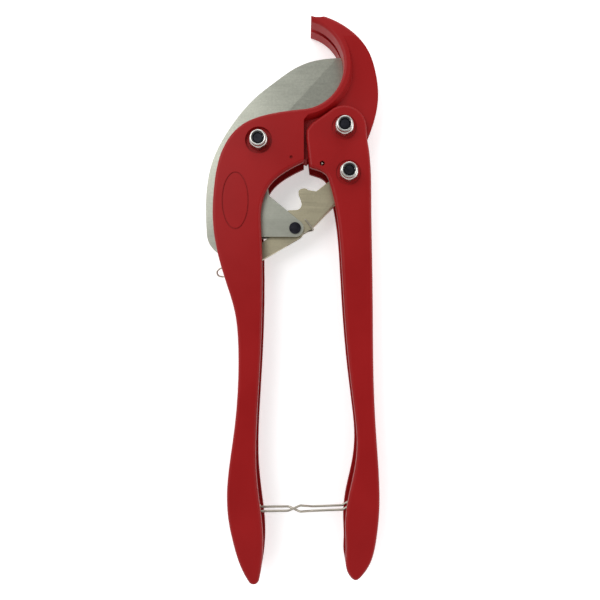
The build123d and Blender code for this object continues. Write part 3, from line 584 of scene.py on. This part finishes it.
class CUTTER_OT_springs(bpy.types.Operator):
    """Link spring, handle spring and closing spring as wound wire"""
    bl_idname = "cutter.springs"
    bl_label = "Springs"

    def execute(self, context):
        sides = context.scene.cutter_sizes.wire_sides
        steel = spring_steel()
        upward = np.array((0, 0, 1))

        # torsion spring on the link rivet, its leg hooked over the link's front flange
        wire = LINK_SPRING_WIRE * MM
        rivet = drawn(*LINK_RIVET)
        leaves = math.radians(LINK_SPRING_LEAVES)
        start = drawn(LINK_RIVET[0] + LINK_SPRING_COIL * math.cos(leaves),
                      LINK_RIVET[1] + LINK_SPRING_COIL * math.sin(leaves))
        coil = helix(rivet, upward, LINK_SPRING_COIL * MM, LINK_SPRING_TURNS,
                     LINK_SPRING_PITCH * wire, start - rivet)
        coil[:, 2] += 0.5 * wire
        leg = smooth_path([coil[-1], *(drawn(*corner) for corner in LINK_SPRING_LEG)])
        piece = new_piece("link_torsion_spring",
                          tube(np.concatenate([coil, leg[1:]]), wire, sides),
                          steel, "link")
        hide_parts("link_spring")

        # torsion spring in the lug's pocket, its leg led along the fork to the spring hole
        wire = HANDLE_SPRING_WIRE * MM
        radius = HANDLE_SPRING_COIL * MM
        pivot = drawn(*HANDLE_PIVOT, HANDLE_SPRING_HEIGHT)
        toward = drawn(*SPRING_HOLE, HANDLE_SPRING_HEIGHT) - pivot
        coil = helix(pivot, upward, radius, HANDLE_SPRING_TURNS, HANDLE_SPRING_PITCH * wire, toward)
        out = pivot + toward / np.linalg.norm(toward) * radius
        leg = smooth_path([coil[-1], out + HANDLE_SPRING_RISE * MM * upward,
                           *(drawn(*corner) for corner in HANDLE_SPRING_LEG)])
        piece = new_piece("handle_torsion_spring",
                          tube(np.concatenate([coil, leg[1:]]), wire, sides),
                          steel, "handle")
        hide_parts("handle_spring")

        # closing spring by the outer wall, with a loop through the wall and a hook to the strut
        wire = CLOSING_SPRING_WIRE * MM
        radius = CLOSING_SPRING_COIL * MM
        near, far = (drawn(*end) for end in CLOSING_SPRING_ENDS)
        run = far - near
        length = np.linalg.norm(run)
        across = np.cross(upward, run) / length
        turns = math.floor(length / (CLOSING_SPRING_PITCH * wire)) - 0.5
        coil = helix(far, run, radius, turns, length / turns, -across)
        loop = smooth_path([near - across * radius,
                            *(drawn(*corner) for corner in CLOSING_SPRING_LOOP), coil[0]])
        hook = smooth_path([coil[-1], *(drawn(*corner) for corner in CLOSING_SPRING_HOOK)])
        piece = new_piece("closing_coil_spring",
                          tube(np.concatenate([loop[:-1], coil, hook[1:]]), wire, sides),
                          steel, "frame")
        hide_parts("closing_spring")
        return {"FINISHED"}


class CUTTER_OT_latch(bpy.types.Operator):
    """Twisted wire latch across the grips' ends"""
    bl_idname = "cutter.latch"
    bl_label = "Latch"

    def execute(self, context):
        dress(spring_steel(), "latch_wire")
        return {"FINISHED"}


class CUTTER_OT_stage(bpy.types.Operator):
    """Floor, soft lights and camera"""
    bl_idname = "cutter.stage"
    bl_label = "Stage"

    def execute(self, context):
        settings = context.scene.cutter_stage
        half = FLOOR_HALF
        mesh = bpy.data.meshes.new("floor")
        mesh.from_pydata([(-half, -half, 0), (half, -half, 0), (half, half, 0), (-half, half, 0)],
                         [], [(0, 1, 2, 3)])
        mesh.materials.append(floor_paint())
        floor = bpy.data.objects.new("floor", mesh)
        context.scene.collection.objects.link(floor)

        for name, place, size, power in (
                ("key_light", (-0.78, 0.62, 1.2), 0.9, settings.key_power),
                ("top_light", (0.1, 1.5, 0.8), 0.8, settings.fill_power),
                ("right_light", (1.3, 0.2, 0.6), 0.7, settings.fill_power)):
            light = bpy.data.lights.new(name, "AREA")
            light.energy = power
            light.size = size
            lamp = bpy.data.objects.new(name, light)
            lamp.location = place
            aim = -np.array(place)
            lamp.rotation_euler = (math.acos(-aim[2] / np.linalg.norm(aim)), 0,
                                   math.atan2(aim[1], aim[0]) - math.pi / 2)
            context.scene.collection.objects.link(lamp)

        world = bpy.data.worlds.new("even_sky")
        world.use_nodes = True
        tree = world.node_tree
        tree.nodes.clear()
        # a studio tent: bright low down, and greyer overhead where the lens looks through
        up = add_node(tree, "ShaderNodeSeparateXYZ", inputs={
            "Vector": add_node(tree, "ShaderNodeTexCoord").outputs["Generated"]})
        tent = add_node(tree, "ShaderNodeMapRange", {"interpolation_type": "SMOOTHSTEP"}, {
            "Value": up.outputs["Z"], "From Min": TENT_FALL[0], "From Max": TENT_FALL[1],
            "To Min": settings.sky, "To Max": settings.zenith})
        background = add_node(tree, "ShaderNodeBackground", inputs={
            "Color": (1, 1, 1, 1), "Strength": tent.outputs["Result"]})
        add_node(tree, "ShaderNodeOutputWorld", inputs={
            "Surface": background.outputs["Background"]})
        context.scene.world = world

        lens = bpy.data.cameras.new("camera")
        lens.sensor_width = SENSOR_WIDTH
        lens.lens = settings.focal
        lens.shift_x = settings.shift
        lens.clip_start = NEAREST_SEEN
        camera = bpy.data.objects.new("camera", lens)
        over = drawn(0.0, 0.0)
        camera.location = (over[0], over[1], settings.camera_height)
        context.scene.collection.objects.link(camera)
        context.scene.camera = camera
        context.scene.view_settings.view_transform = "Standard"
        return {"FINISHED"}


class CUTTER_PT_sidebar(bpy.types.Panel):
    """Lists the cutter's pieces and settings"""
    bl_label = "Pipe Cutter"
    bl_idname = "CUTTER_PT_sidebar"
    bl_space_type = "VIEW_3D"
    bl_region_type = "UI"
    bl_category = "Pipe Cutter"

    def draw(self, context):
        scene = context.scene
        for group in (scene.cutter_sizes, scene.cutter_finishes, scene.cutter_stage):
            for name in group.bl_rna.properties.keys():
                if name not in ("rna_type", "name"):
                    self.layout.prop(group, name)
        for operator in OPERATORS:
            self.layout.operator(operator.bl_idname)


OPERATORS = (CUTTER_OT_castings, CUTTER_OT_blade, CUTTER_OT_linkage, CUTTER_OT_fasteners,
             CUTTER_OT_springs, CUTTER_OT_latch, CUTTER_OT_stage)
CLASSES = (CutterFinishes, CutterSizes, StageSettings, *OPERATORS, CUTTER_PT_sidebar)


def register():
    for item in CLASSES:
        bpy.utils.register_class(item)
    bpy.types.Scene.cutter_finishes = PointerProperty(type=CutterFinishes)
    bpy.types.Scene.cutter_sizes = PointerProperty(type=CutterSizes)
    bpy.types.Scene.cutter_stage = PointerProperty(type=StageSettings)


def unregister():
    del bpy.types.Scene.cutter_stage
    del bpy.types.Scene.cutter_sizes
    del bpy.types.Scene.cutter_finishes
    for item in reversed(CLASSES):
        bpy.utils.unregister_class(item)


def main():
    """Builds every piece."""
    register()
    bpy.ops.cutter.castings()
    bpy.ops.cutter.blade()
    bpy.ops.cutter.linkage()
    bpy.ops.cutter.fasteners()
    bpy.ops.cutter.springs()
    bpy.ops.cutter.latch()
    bpy.ops.cutter.stage()


if __name__ == "__main__":
    main()
